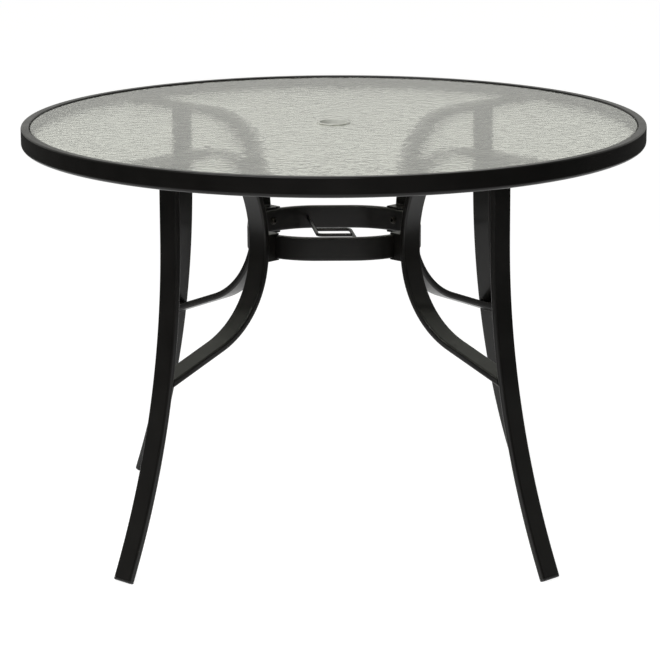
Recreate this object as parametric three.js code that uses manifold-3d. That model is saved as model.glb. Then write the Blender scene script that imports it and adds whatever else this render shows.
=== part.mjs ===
// A round patio table with a glass top and an umbrella hole. A roll-formed steel rim holds the glass.
// Four flared legs stand under it, each with a bent brace, and a hoop ties the four braces together.
// Sizes are in millimetres and +Z is up. The origin is on the floor under the middle of the table.
// The front is -Y, and the legs stand at the four diagonals.

import * as THREE from 'three';
import { mergeVertices } from 'three/addons/utils/BufferGeometryUtils.js';
import Module from 'manifold-3d';

const wasm = await Module();
wasm.setup();

// Whole table
const TABLE_DIAMETER = 1066.8;
const TABLE_HEIGHT = 711;
const FIT_GAP = 0.3; // air between two pieces that touch
const CUT_OVERRUN = 6; // how far a cutting shape runs past what it cuts

// Rim: one steel strip rolled into an open channel, with a lip, an inner wall and a ledge for the glass
const RIM_HEIGHT = 34;
const RIM_LIP_WIDTH = 14;
const RIM_WALL = 1.5;
const RIM_TOP_EDGE_RADIUS = 3;
const RIM_BOTTOM_EDGE_RADIUS = 7;
const RIM_LEDGE_WIDTH = 6;
const RIM_BOTTOM_WIDTH = 19; // from the outside to the edge of the bottom flange

// Glass and its edge strip
const GLASS_DROP = 2; // from the lip down to the glass
const GLASS_THICKNESS = 5;
const GLASS_EDGE_RADIUS = 1;
const STRIP_THICKNESS = 1;

// Umbrella hole
const HOLE_DIAMETER = 51;
const HOLE_RING_WALL = 1.7;
const HOLE_RING_FLANGE_WIDTH = 3.3;
const HOLE_RING_FLANGE_THICKNESS = 1.5;
const HOLE_RING_BELOW_GLASS = 2;

// Flat tube of the legs, the braces and the hoop
const TUBE_WIDTH = 40;
const TUBE_DEPTH = 12;
const TUBE_WALL = 1.5;
const TUBE_CORNER_RADIUS = 3.5;

// Legs: upright at the top, then one long bend outwards, straight again where the foot cap plugs in
const LEG_INSET = 150.9; // from the outside of the rim to the middle of the upright part
const LEG_UPRIGHT_END = 150; // from the top of the table down to where the bend starts
const LEG_BEND_RADIUS = 1405;
const LEG_STRAIGHT_PAST_PLUG = 4; // of the straight end, above the cap's plug

// Braces: an arm under the glass, three bends and a straight run down to the leg
const BRACE_BEHIND_HOOP = 18.5; // from the hoop's corner to the innermost point of the centreline
const BRACE_UPPER_BEND_RADIUS = 118;
const BRACE_BELLY_BEND_RADIUS = 230;
const BRACE_LOWER_BEND_RADIUS = 156;
const BRACE_UPPER_TURN = 67; // degrees
const BRACE_BELLY_TURN = 35;
const BRACE_LOWER_TURN = 58;
const ARM_END_CLEARANCE = 3; // from the arm's end to the outer wall of the rim

// Foot caps: a plug in the tube and a shoe under it, worn flat on the floor
const CAP_THICKNESS = 4;
const CAP_EDGE_RADIUS = 1.6;
const CAP_PLUG_LENGTH = 16;
const CAP_PLUG_WALL = 2;
const CAP_FLAT_DEPTH = 1.5;

// Hoop of the same tube, its wide side upright: a square with large round corners, one at each brace
const HOOP_BEND_RADIUS = 120; // to the outside of a corner
const HOOP_STRAIGHT = 58; // of each side, between two corners
const HOOP_TOP_DROP = 173.5; // from the top of the table down to the hoop

// Saddles that join the hoop to the braces
const SADDLE_PLATE = 3;
const SADDLE_WIDTH = 38;
const SADDLE_REACH = 10; // over and under the hoop, from its outer face

// Umbrella pole guide: two bent rods in the hoop that lock into a rectangle
const GUIDE_ROD_DIAMETER = 6;
const GUIDE_HALF_WIDTH = 28;
const GUIDE_HALF_DEPTH = 24;
const GUIDE_BEND_RADIUS = 9;
const GUIDE_SLANT = 6; // degrees

// Bolts and nuts, one size for the whole table
const BOLT_DIAMETER = 6;
const BOLT_FLANGE_RADIUS = 7;
const BOLT_FLANGE_THICKNESS = 1.2;
const BOLT_HEAD_RADIUS = 5.2;
const BOLT_HEAD_HEIGHT = 3;
const BOLT_TIP_LENGTH = 1.5; // that stands out of the nut
const NUT_ACROSS_FLATS = 10;
const NUT_THICKNESS = 5;

// Tabs that fasten the arms to the rim, with two bolts each
const TAB_THICKNESS = 2;
const TAB_WIDTH = 34;
const TAB_END_MARGIN = 11; // from the inner bolt to the end of the tab
const TAB_BOLT_SPACING = 22;
const TAB_BOLT_INSET = 3; // from the rim's bottom flange to the outer bolt's flange

// Facets
const RIM_SEGMENTS = 72;
const HOLE_SEGMENTS = 32;
const BOLT_SEGMENTS = 10;
const ROD_SEGMENTS = 10;
const ROUND_DIVISIONS = 1; // of a quarter round in an outline, which has two sides to each division
const HOOP_DIVISIONS = 5; // the same for a corner of the hoop
const BEND_STEP = 10; // degrees of a bend between two sections of a tube
const LEG_BEND_STEP = 2.4; // the same for the long bend of a leg
const ROD_BEND_STEP = 15; // the same for the tight bend of a guide rod

// Colours
const PAINT_BLACK = 0x2b2a28;
const PLASTIC_BLACK = 0x1a1a1a;
const ZINC_DARK = 0x3a3a3a;
const GLASS_TINT = 0xc9cdc4;
const PLASTIC_CLEAR = 0xd9d8c8;

// Places that follow from the sizes above
const rimRadius = TABLE_DIAMETER / 2;
const rimInnerRadius = rimRadius - RIM_LIP_WIDTH;
const legRadius = rimRadius - LEG_INSET;
const hoopHalfWidth = HOOP_STRAIGHT / 2 + HOOP_BEND_RADIUS;
const hoopCornerReach = HOOP_STRAIGHT / Math.SQRT2 + HOOP_BEND_RADIUS;
const bellyRadius = hoopCornerReach + BRACE_BEHIND_HOOP;
const glassTop = TABLE_HEIGHT - GLASS_DROP;
const glassBottom = glassTop - GLASS_THICKNESS;
const ledgeTop = glassBottom - FIT_GAP - STRIP_THICKNESS - FIT_GAP;
const rimBottom = TABLE_HEIGHT - RIM_HEIGHT;
const rimFloor = rimBottom + RIM_WALL;
const tabTop = rimFloor + FIT_GAP + TAB_THICKNESS;
const armTop = tabTop + FIT_GAP + TUBE_DEPTH;
const armHeight = armTop - TUBE_DEPTH / 2;
const hoopTop = TABLE_HEIGHT - HOOP_TOP_DROP;
const hoopMiddle = hoopTop - TUBE_WIDTH / 2;
const stripOuterRadius = rimInnerRadius - FIT_GAP;
const glassRadius = stripOuterRadius - STRIP_THICKNESS - FIT_GAP;

const radians = THREE.MathUtils.degToRad;

// Closed surface to solid, for cutting and joining
function toSolid(geometry) {
	const bare = geometry.clone();
	bare.deleteAttribute('normal');
	bare.deleteAttribute('uv');
	const merged = mergeVertices(bare);
	const vertProperties = merged.getAttribute('position').array;
	const triVerts = Uint32Array.from(merged.getIndex().array);
	return new wasm.Manifold(new wasm.Mesh({ numProp: 3, vertProperties, triVerts }));
}

function toGeometry(solid) {
	const mesh = solid.getMesh();
	const geometry = new THREE.BufferGeometry();
	geometry.setAttribute('position', new THREE.BufferAttribute(mesh.vertProperties, 3));
	geometry.setIndex(new THREE.BufferAttribute(mesh.triVerts, 1));
	geometry.computeVertexNormals();
	return geometry;
}

function cut(geometry, ...cutters) {
	let solid = toSolid(geometry);
	for (const cutter of cutters) solid = solid.subtract(toSolid(cutter));
	return toGeometry(solid);
}

// A centreline in the XZ plane, made of straight runs and bends that follow on from each other.
// Its heading is an angle from +X towards +Z, and a turn is positive in the same sense.
class TubeRoute extends THREE.Curve {
	constructor(x, z, heading) {
		super();
		this.stations = [{ point: new THREE.Vector3(x, 0, z), heading }];
	}

	get end() {
		return this.stations[this.stations.length - 1];
	}

	get steps() {
		return this.stations.length - 1;
	}

	straight(length) {
		const { point, heading } = this.end;
		const run = new THREE.Vector3(Math.cos(heading), 0, Math.sin(heading)).multiplyScalar(length);
		this.stations.push({ point: point.clone().add(run), heading });
		return this;
	}

	bend(radius, turn, step) {
		const { point, heading } = this.end;
		const side = Math.sign(turn);
		const count = Math.ceil(Math.abs(turn) / step);
		for (let i = 1; i <= count; i++) {
			const angle = heading + (turn * i) / count;
			const x = point.x + side * radius * (Math.sin(angle) - Math.sin(heading));
			const z = point.z - side * radius * (Math.cos(angle) - Math.cos(heading));
			this.stations.push({ point: new THREE.Vector3(x, 0, z), heading: angle });
		}
		return this;
	}

	// The station before a place on the route, and the share of the way to the next one
	before(t) {
		const place = t * this.steps;
		const index = Math.min(Math.floor(place), this.steps - 1);
		return { from: this.stations[index], to: this.stations[index + 1], share: place - index };
	}

	getPoint(t, target = new THREE.Vector3()) {
		const { from, to, share } = this.before(t);
		return target.lerpVectors(from.point, to.point, share);
	}

	getTangent(t, target = new THREE.Vector3()) {
		const { from, to, share } = this.before(t);
		const heading = THREE.MathUtils.lerp(from.heading, to.heading, share);
		return target.set(Math.cos(heading), 0, Math.sin(heading));
	}

	getUtoTmapping(u) {
		return u;
	}
}

// A rectangle with round corners about its middle, as an outline or as a hole in one
function roundedRectangle(outline, width, height, radius) {
	const x = width / 2 - radius;
	const y = height / 2 - radius;
	outline.absarc(x, y, radius, 0, Math.PI / 2);
	outline.absarc(-x, y, radius, Math.PI / 2, Math.PI);
	outline.absarc(-x, -y, radius, Math.PI, (3 * Math.PI) / 2);
	outline.absarc(x, -y, radius, (3 * Math.PI) / 2, 2 * Math.PI);
	outline.closePath();
	return outline;
}

function rectangle(outline, width, height) {
	outline.moveTo(width / 2, height / 2);
	outline.lineTo(-width / 2, height / 2);
	outline.lineTo(-width / 2, -height / 2);
	outline.lineTo(width / 2, -height / 2);
	outline.closePath();
	return outline;
}

// The flat tube's section: its wide side lies across the plane of the route
function tubeSection(grow) {
	const width = TUBE_WIDTH + 2 * grow;
	const depth = TUBE_DEPTH + 2 * grow;
	return roundedRectangle(new THREE.Shape(), width, depth, TUBE_CORNER_RADIUS + grow);
}

function hollowTubeSection() {
	const section = tubeSection(0);
	section.holes.push(rectangle(new THREE.Path(), TUBE_WIDTH - 2 * TUBE_WALL, TUBE_DEPTH - 2 * TUBE_WALL));
	return section;
}

function sweep(section, route) {
	return new THREE.ExtrudeGeometry(section, {
		steps: route.steps,
		extrudePath: route,
		curveSegments: ROUND_DIVISIONS,
	});
}

// A solid of the tube's outside, with the gap that its neighbours keep
const tubeClearance = (route) => sweep(tubeSection(FIT_GAP), route);

// A flat outline in the XZ plane, thickened to both sides of it
function acrossPlane(shape, thickness) {
	const geometry = new THREE.ExtrudeGeometry(shape, { depth: thickness, bevelEnabled: false });
	return geometry.translate(0, 0, -thickness / 2).rotateX(Math.PI / 2);
}

// A turned piece about the Z axis
function turned(points, segments) {
	return new THREE.LatheGeometry(points, segments).rotateX(Math.PI / 2);
}

function block(x0, x1, width, z0, z1) {
	return new THREE.BoxGeometry(x1 - x0, width, z1 - z0).translate((x0 + x1) / 2, 0, (z0 + z1) / 2);
}

function cylinderAlongZ(radius, z0, z1) {
	const geometry = new THREE.CylinderGeometry(radius, radius, z1 - z0, BOLT_SEGMENTS);
	return geometry.rotateX(Math.PI / 2).translate(0, 0, (z0 + z1) / 2);
}

// The rim's section, drawn round from the ledge's inner edge
function rimSection() {
	const ledgeInner = rimInnerRadius - RIM_LEDGE_WIDTH;
	const topCorner = rimRadius - RIM_TOP_EDGE_RADIUS;
	const bottomCorner = rimRadius - RIM_BOTTOM_EDGE_RADIUS;
	const topArc = TABLE_HEIGHT - RIM_TOP_EDGE_RADIUS;
	const bottomArc = rimBottom + RIM_BOTTOM_EDGE_RADIUS;
	const down = -Math.PI / 2;
	const up = Math.PI / 2;
	const section = new THREE.Path();
	section.moveTo(ledgeInner, ledgeTop - RIM_WALL);
	section.lineTo(rimInnerRadius + RIM_WALL, ledgeTop - RIM_WALL);
	section.lineTo(rimInnerRadius + RIM_WALL, TABLE_HEIGHT - RIM_WALL);
	section.absarc(topCorner, topArc, RIM_TOP_EDGE_RADIUS - RIM_WALL, up, 0, true);
	section.absarc(bottomCorner, bottomArc, RIM_BOTTOM_EDGE_RADIUS - RIM_WALL, 0, down, true);
	section.lineTo(rimRadius - RIM_BOTTOM_WIDTH, rimFloor);
	section.lineTo(rimRadius - RIM_BOTTOM_WIDTH, rimBottom);
	section.absarc(bottomCorner, bottomArc, RIM_BOTTOM_EDGE_RADIUS, down, 0);
	section.absarc(topCorner, topArc, RIM_TOP_EDGE_RADIUS, 0, up);
	section.lineTo(rimInnerRadius, TABLE_HEIGHT);
	section.lineTo(rimInnerRadius, ledgeTop);
	section.lineTo(ledgeInner, ledgeTop);
	section.closePath();
	return section.getPoints(ROUND_DIVISIONS);
}

function tableRim() {
	return turned(rimSection(), RIM_SEGMENTS);
}

// The pane, with its edges ground off
function glassTopPane() {
	const section = new THREE.Path();
	const holeRadius = HOLE_DIAMETER / 2;
	section.moveTo(holeRadius, glassBottom);
	section.lineTo(glassRadius - GLASS_EDGE_RADIUS, glassBottom);
	section.lineTo(glassRadius, glassBottom + GLASS_EDGE_RADIUS);
	section.lineTo(glassRadius, glassTop - GLASS_EDGE_RADIUS);
	section.lineTo(glassRadius - GLASS_EDGE_RADIUS, glassTop);
	section.lineTo(holeRadius, glassTop);
	section.closePath();
	return turned(section.getPoints(), RIM_SEGMENTS);
}

// A soft strip under and round the edge of the glass
function glassEdgeStrip() {
	const bottom = ledgeTop + FIT_GAP;
	const lieOn = bottom + STRIP_THICKNESS;
	const innerRadius = rimInnerRadius - RIM_LEDGE_WIDTH;
	const wallRadius = stripOuterRadius - STRIP_THICKNESS;
	const section = new THREE.Path();
	section.moveTo(innerRadius, bottom);
	section.lineTo(stripOuterRadius, bottom);
	section.lineTo(stripOuterRadius, glassTop);
	section.lineTo(wallRadius, glassTop);
	section.lineTo(wallRadius, lieOn);
	section.lineTo(innerRadius, lieOn);
	section.closePath();
	return turned(section.getPoints(), RIM_SEGMENTS);
}

// A flanged sleeve in the hole, which keeps the pole off the glass
function umbrellaHoleRing() {
	const outerRadius = HOLE_DIAMETER / 2 - FIT_GAP;
	const boreRadius = outerRadius - HOLE_RING_WALL;
	const flangeRadius = outerRadius + HOLE_RING_FLANGE_WIDTH;
	const flangeBottom = glassTop + FIT_GAP;
	const flangeTop = flangeBottom + HOLE_RING_FLANGE_THICKNESS;
	const sleeveBottom = glassBottom - HOLE_RING_BELOW_GLASS;
	const section = new THREE.Path();
	section.moveTo(boreRadius, sleeveBottom);
	section.lineTo(outerRadius, sleeveBottom);
	section.lineTo(outerRadius, flangeBottom);
	section.lineTo(flangeRadius, flangeBottom);
	section.lineTo(flangeRadius - HOLE_RING_FLANGE_THICKNESS, flangeTop);
	section.lineTo(boreRadius, flangeTop);
	section.closePath();
	return turned(section.getPoints(), HOLE_SEGMENTS);
}

// The leg's centreline from its top down, and the angle from upright at its foot.
// That angle brings the cap's inner corner to the floor, less what is worn flat.
const legTop = armTop - TUBE_DEPTH - FIT_GAP;
const legBendStart = TABLE_HEIGHT - LEG_UPRIGHT_END;
const legEndLength = CAP_PLUG_LENGTH + LEG_STRAIGHT_PAST_PLUG;
const straightDrop = legEndLength + FIT_GAP + CAP_THICKNESS;
const bentDrop = LEG_BEND_RADIUS + TUBE_DEPTH / 2;
const footAngle =
	Math.asin((legBendStart + CAP_FLAT_DEPTH) / Math.hypot(bentDrop, straightDrop)) -
	Math.atan2(straightDrop, bentDrop);

function legRoute(top) {
	const route = new TubeRoute(legRadius, top, -Math.PI / 2);
	route.straight(top - legBendStart);
	route.bend(LEG_BEND_RADIUS, footAngle, radians(LEG_BEND_STEP));
	return route.straight(legEndLength);
}

// The arm's centreline, from its outer end in and round the upper bend
function armRoute() {
	const turn = radians(BRACE_UPPER_TURN);
	const upperReach = BRACE_UPPER_BEND_RADIUS * Math.sin(turn);
	const bellyReach = BRACE_BELLY_BEND_RADIUS * (1 - Math.sin(turn));
	const armInner = bellyRadius + upperReach + bellyReach;
	const armOuter = rimRadius - RIM_WALL - ARM_END_CLEARANCE;
	const route = new TubeRoute(armOuter, armHeight, Math.PI);
	route.straight(armOuter - armInner);
	return route.bend(BRACE_UPPER_BEND_RADIUS, turn, radians(BEND_STEP));
}

// The brace's whole centreline, on from the arm, round the belly and out to past the leg
function braceRoute() {
	const route = armRoute();
	route.bend(BRACE_BELLY_BEND_RADIUS, radians(BRACE_BELLY_TURN), radians(BEND_STEP));
	route.bend(BRACE_LOWER_BEND_RADIUS, radians(BRACE_LOWER_TURN), radians(BEND_STEP));
	const { point, heading } = route.end;
	return route.straight((rimRadius - point.x) / Math.cos(heading));
}

// Everything beyond one face of a tube, with a gap. Facing a route's way, side is 1 for the right.
function beyondFace(route, side, firstCorner, lastCorner) {
	const reach = side * (TUBE_DEPTH / 2 + FIT_GAP);
	const shape = new THREE.Shape();
	shape.moveTo(...firstCorner);
	for (const { point, heading } of route.stations) {
		shape.lineTo(point.x + reach * Math.sin(heading), point.z - reach * Math.cos(heading));
	}
	shape.lineTo(...lastCorner);
	shape.closePath();
	return acrossPlane(shape, TUBE_WIDTH + 2 * CUT_OVERRUN);
}

// The leg, cut off under the arm
function legTube() {
	const aboveLowerFace = beyondFace(armRoute(), -1, [rimRadius, TABLE_HEIGHT], [0, TABLE_HEIGHT]);
	return cut(sweep(hollowTubeSection(), legRoute(armHeight)), aboveLowerFace);
}

// The middles of the two bolts that hold an arm, as distances from the table's axis
function tabBoltRadii() {
	const outer = rimRadius - RIM_BOTTOM_WIDTH - TAB_BOLT_INSET - BOLT_FLANGE_RADIUS;
	return { outer, inner: outer - TAB_BOLT_SPACING };
}

const boltHoleRadius = BOLT_DIAMETER / 2 + FIT_GAP;

function tabBoltHole(radius) {
	const bottom = rimFloor - CUT_OVERRUN;
	const top = armHeight;
	return cylinderAlongZ(boltHoleRadius, bottom, top).translate(radius, 0, 0);
}

// The brace, cut to the leg's curved face and drilled from below for the bolts
function braceTube() {
	const { outer, inner } = tabBoltRadii();
	const outsideLeg = beyondFace(legRoute(legTop), 1, [TABLE_DIAMETER, legTop], [TABLE_DIAMETER, 0]);
	return cut(sweep(hollowTubeSection(), braceRoute()), outsideLeg, tabBoltHole(outer), tabBoltHole(inner));
}

// The foot cap, made along Z with the tube's end at zero, then turned to the end of the leg
function footCap() {
	const shoe = roundedRectangle(
		new THREE.Shape(),
		TUBE_DEPTH - 2 * CAP_EDGE_RADIUS,
		TUBE_WIDTH - 2 * CAP_EDGE_RADIUS,
		TUBE_CORNER_RADIUS - CAP_EDGE_RADIUS,
	);
	const sole = new THREE.ExtrudeGeometry(shoe, {
		depth: CAP_THICKNESS - 2 * CAP_EDGE_RADIUS,
		bevelThickness: CAP_EDGE_RADIUS,
		bevelSize: CAP_EDGE_RADIUS,
		bevelSegments: 2,
		curveSegments: ROUND_DIVISIONS,
	});
	sole.translate(0, 0, FIT_GAP + CAP_EDGE_RADIUS);
	const plugDepth = TUBE_DEPTH - 2 * TUBE_WALL - 2 * FIT_GAP;
	const plugWidth = TUBE_WIDTH - 2 * TUBE_WALL - 2 * FIT_GAP;
	const plug = rectangle(new THREE.Shape(), plugDepth, plugWidth);
	const hollow = rectangle(new THREE.Path(), plugDepth - 2 * CAP_PLUG_WALL, plugWidth - 2 * CAP_PLUG_WALL);
	plug.holes.push(hollow);
	const plugLength = CAP_PLUG_LENGTH + FIT_GAP + CAP_THICKNESS / 2;
	const stem = new THREE.ExtrudeGeometry(plug, { depth: plugLength, bevelEnabled: false });
	stem.translate(0, 0, -CAP_PLUG_LENGTH);
	const { point } = legRoute(legTop).end;
	const cap = toGeometry(toSolid(sole).add(toSolid(stem)));
	cap.rotateY(Math.PI - footAngle).translate(point.x, 0, point.z);
	const floorReach = TUBE_WIDTH + CUT_OVERRUN;
	const floor = block(point.x - floorReach, point.x + floorReach, 2 * floorReach, -floorReach, 0);
	return cut(cap, floor);
}

// The outline of the hoop's outer face seen from above, grown or shrunk
function hoopOutline(outline, grow) {
	const width = 2 * (hoopHalfWidth + grow);
	return roundedRectangle(outline, width, width, HOOP_BEND_RADIUS + grow);
}

// The outline between the hoop's two faces, each moved out of the tube by the same amount
function hoopPlan(grow) {
	const plan = hoopOutline(new THREE.Shape(), grow);
	plan.holes.push(hoopOutline(new THREE.Path(), -TUBE_DEPTH - grow));
	return plan;
}

// An outline seen from above made as high as the hoop, with the same growth
function asHighAsHoop(plan, grow) {
	const height = TUBE_WIDTH + 2 * grow;
	const geometry = new THREE.ExtrudeGeometry(plan, {
		depth: height,
		bevelEnabled: false,
		curveSegments: HOOP_DIVISIONS,
	});
	return geometry.translate(0, 0, hoopMiddle - height / 2);
}

function hoopBoltHole(azimuth) {
	const inner = hoopCornerReach - TUBE_DEPTH - CUT_OVERRUN;
	const hole = cylinderAlongZ(boltHoleRadius, inner, hoopCornerReach + CUT_OVERRUN);
	return hole.rotateY(Math.PI / 2).translate(0, 0, hoopMiddle).rotateZ(azimuth);
}

// The hoop: flat tube bent round four corners and welded shut, drilled through for the four bolts
function centreHoop() {
	const round = TUBE_CORNER_RADIUS;
	const outside = new THREE.ExtrudeGeometry(hoopPlan(-round), {
		depth: TUBE_WIDTH - 2 * round,
		bevelThickness: round,
		bevelSize: round,
		bevelSegments: 2,
		curveSegments: HOOP_DIVISIONS,
	});
	outside.translate(0, 0, hoopMiddle - TUBE_WIDTH / 2 + round);
	const hollow = asHighAsHoop(hoopPlan(-TUBE_WALL), -TUBE_WALL);
	const holes = corners.map((corner) => hoopBoltHole(corner.azimuth));
	return cut(outside, hollow, ...holes);
}

// A saddle: a stamped box with lips over and under the hoop, welded to the brace by its open back
const saddleWeb = hoopCornerReach + FIT_GAP;
const saddlePocket = saddleWeb + SADDLE_PLATE;

function hoopSaddle() {
	const inner = hoopCornerReach - SADDLE_REACH;
	const low = hoopTop - TUBE_WIDTH - FIT_GAP;
	const high = hoopTop + FIT_GAP;
	const body = block(inner, bellyRadius, SADDLE_WIDTH, low - SADDLE_PLATE, high + SADDLE_PLATE);
	const roomForHoop = asHighAsHoop(hoopOutline(new THREE.Shape(), FIT_GAP), FIT_GAP).rotateZ(Math.PI / 4);
	const pocketWidth = SADDLE_WIDTH - 2 * SADDLE_PLATE;
	const pocket = block(saddlePocket, bellyRadius + CUT_OVERRUN, pocketWidth, low, high);
	return cut(body, roomForHoop, pocket, tubeClearance(braceRoute()), hoopBoltHole(0));
}

// A bolt along Z: its flange bears at zero, its head is above and its shank goes down
function bolt(grip) {
	const shank = BOLT_DIAMETER / 2;
	const headTop = BOLT_FLANGE_THICKNESS + BOLT_HEAD_HEIGHT;
	const section = new THREE.Path();
	section.moveTo(0, -grip - BOLT_TIP_LENGTH);
	section.lineTo(shank, -grip - BOLT_TIP_LENGTH);
	section.lineTo(shank, 0);
	section.lineTo(BOLT_FLANGE_RADIUS, 0);
	section.lineTo(BOLT_FLANGE_RADIUS, BOLT_FLANGE_THICKNESS);
	section.lineTo(BOLT_HEAD_RADIUS, BOLT_FLANGE_THICKNESS);
	section.lineTo(BOLT_HEAD_RADIUS / 2, headTop);
	section.lineTo(0, headTop);
	return turned(section.getPoints(), BOLT_SEGMENTS);
}

// A hexagon nut along Z, its lower face at zero
function nut() {
	const corner = NUT_ACROSS_FLATS / 2 / Math.cos(Math.PI / 6);
	const shape = new THREE.Shape();
	for (let i = 0; i < 6; i++) {
		const angle = (i * Math.PI) / 3;
		const place = [corner * Math.cos(angle), corner * Math.sin(angle)];
		if (i === 0) shape.moveTo(...place);
		else shape.lineTo(...place);
	}
	shape.closePath();
	shape.holes.push(new THREE.Path().absarc(0, 0, boltHoleRadius, 0, 2 * Math.PI));
	return new THREE.ExtrudeGeometry(shape, {
		depth: NUT_THICKNESS,
		bevelEnabled: false,
		curveSegments: BOLT_SEGMENTS / 2,
	});
}

// The hoop's facets fall back from a bolt's middle, so its flat flange bears a little further in
const hoopFallBack = BOLT_FLANGE_RADIUS * Math.tan(Math.PI / 8 / HOOP_DIVISIONS);
const hoopSeat = hoopCornerReach - TUBE_DEPTH - hoopFallBack - FIT_GAP;
const hoopNutSeat = saddlePocket + FIT_GAP;

function hoopBolt() {
	const grip = hoopNutSeat + NUT_THICKNESS - hoopSeat;
	return bolt(grip).rotateY(-Math.PI / 2).translate(hoopSeat, 0, hoopMiddle);
}

function hoopNut() {
	return nut().rotateY(Math.PI / 2).translate(hoopNutSeat, 0, hoopMiddle);
}

// A tab on the floor of the rim's channel, which the arm lies on
function rimTab() {
	const { outer, inner } = tabBoltRadii();
	const tabOuter = rimRadius - RIM_BOTTOM_EDGE_RADIUS - FIT_GAP;
	const tab = block(inner - TAB_END_MARGIN, tabOuter, TAB_WIDTH, tabTop - TAB_THICKNESS, tabTop);
	return cut(tab, tabBoltHole(outer), tabBoltHole(inner));
}

const tabBoltSeat = tabTop - TAB_THICKNESS - FIT_GAP;
const tabNutSeat = armTop - TUBE_DEPTH + TUBE_WALL + FIT_GAP;

function tabBolt(radius) {
	const grip = tabNutSeat + NUT_THICKNESS - tabBoltSeat;
	return bolt(grip).rotateX(Math.PI).translate(radius, 0, tabBoltSeat);
}

function tabNut(radius) {
	return nut().translate(radius, 0, tabNutSeat);
}

// A guide rod from the rear left of the hoop, forwards, round a corner and across to the other rod
function guideRodRoute() {
	const slant = radians(GUIDE_SLANT);
	const wallMiddle = hoopHalfWidth - TUBE_DEPTH / 2;
	const run = (wallMiddle + GUIDE_HALF_DEPTH) / Math.cos(slant);
	const startX = -GUIDE_HALF_WIDTH - run * Math.sin(slant);
	const turn = Math.PI / 2 - slant;
	const cornerCut = GUIDE_BEND_RADIUS * Math.tan(turn / 2);
	const across = 2 * GUIDE_HALF_WIDTH + 2 * GUIDE_HALF_DEPTH * Math.tan(slant);
	const route = new TubeRoute(startX, wallMiddle, slant - Math.PI / 2);
	route.straight(run - cornerCut);
	route.bend(GUIDE_BEND_RADIUS, turn, radians(ROD_BEND_STEP));
	return route.straight(across - cornerCut);
}

function guideRodSweep(radius) {
	const section = new THREE.Shape();
	for (let i = 0; i < ROD_SEGMENTS; i++) {
		const angle = ((2 * i + 1) * Math.PI) / ROD_SEGMENTS;
		const place = [radius * Math.cos(angle), radius * Math.sin(angle)];
		if (i === 0) section.moveTo(...place);
		else section.lineTo(...place);
	}
	section.closePath();
	return sweep(section, guideRodRoute()).rotateX(-Math.PI / 2).translate(0, 0, hoopMiddle);
}

// Each rod ends at the hoop's inner face and at the side of the other rod, which is half a turn away
function guideRod() {
	const radius = GUIDE_ROD_DIAMETER / 2;
	const otherRod = guideRodSweep(radius + FIT_GAP).rotateZ(Math.PI);
	return cut(guideRodSweep(radius), asHighAsHoop(hoopPlan(FIT_GAP), FIT_GAP), otherRod);
}

function material(color, roughness, metalness, opacity = 1) {
	return new THREE.MeshStandardMaterial({ color, roughness, metalness, opacity, transparent: opacity < 1 });
}

const paintedSteel = () => material(PAINT_BLACK, 0.42, 0.3);
const darkZinc = () => material(ZINC_DARK, 0.35, 0.8);
const blackPlastic = () => material(PLASTIC_BLACK, 0.6, 0);
const clearPlastic = () => material(PLASTIC_CLEAR, 0.4, 0, 0.8);
const wavyGlass = () => material(GLASS_TINT, 0.1, 0, 0.4);

function piece(name, geometry, finish) {
	const mesh = new THREE.Mesh(geometry, finish());
	mesh.name = name;
	return mesh;
}

const corners = [
	{ name: 'front_left', azimuth: (-3 * Math.PI) / 4 },
	{ name: 'front_right', azimuth: -Math.PI / 4 },
	{ name: 'rear_right', azimuth: Math.PI / 4 },
	{ name: 'rear_left', azimuth: (3 * Math.PI) / 4 },
];

// What stands at one corner of the table, made along +X and turned to its place
function cornerPieces({ name, azimuth }) {
	const { outer, inner } = tabBoltRadii();
	const group = new THREE.Group();
	group.rotation.z = azimuth;
	group.add(
		piece(`leg_${name}`, legTube(), paintedSteel),
		piece(`brace_${name}`, braceTube(), paintedSteel),
		piece(`foot_cap_${name}`, footCap(), blackPlastic),
		piece(`saddle_${name}`, hoopSaddle(), paintedSteel),
		piece(`hoop_bolt_${name}`, hoopBolt(), darkZinc),
		piece(`hoop_nut_${name}`, hoopNut(), darkZinc),
		piece(`rim_tab_${name}`, rimTab(), paintedSteel),
		piece(`rim_bolt_outer_${name}`, tabBolt(outer), darkZinc),
		piece(`rim_bolt_inner_${name}`, tabBolt(inner), darkZinc),
		piece(`rim_nut_outer_${name}`, tabNut(outer), darkZinc),
		piece(`rim_nut_inner_${name}`, tabNut(inner), darkZinc),
	);
	return group;
}

function guideRods() {
	const left = piece('guide_rod_left', guideRod(), paintedSteel);
	const right = piece('guide_rod_right', guideRod(), paintedSteel);
	right.rotation.z = Math.PI;
	return [left, right];
}

const table = new THREE.Group();
table.add(
	piece('table_rim', tableRim(), paintedSteel),
	piece('glass_top', glassTopPane(), wavyGlass),
	piece('glass_edge_strip', glassEdgeStrip(), blackPlastic),
	piece('umbrella_hole_ring', umbrellaHoleRing(), clearPlastic),
	piece('centre_hoop', centreHoop(), paintedSteel),
	...guideRods(),
	...corners.map(cornerPieces),
);

export default table;
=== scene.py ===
# %% [markdown]
# # A round glass-topped patio table with a hole for an umbrella
# The table is a rolled steel rim with a rippled pane in it, on four flared legs of flat tube. Each
# leg has a bent brace, and a hoop under the glass ties the four braces together. This file dresses
# the plain solids of that table: it makes smoother, more detailed pieces in the same places, and
# gives each one the finish of the real material.

# %% Load the plain solids
import math

import bmesh
import bpy
from mathutils import Matrix, Vector


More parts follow.
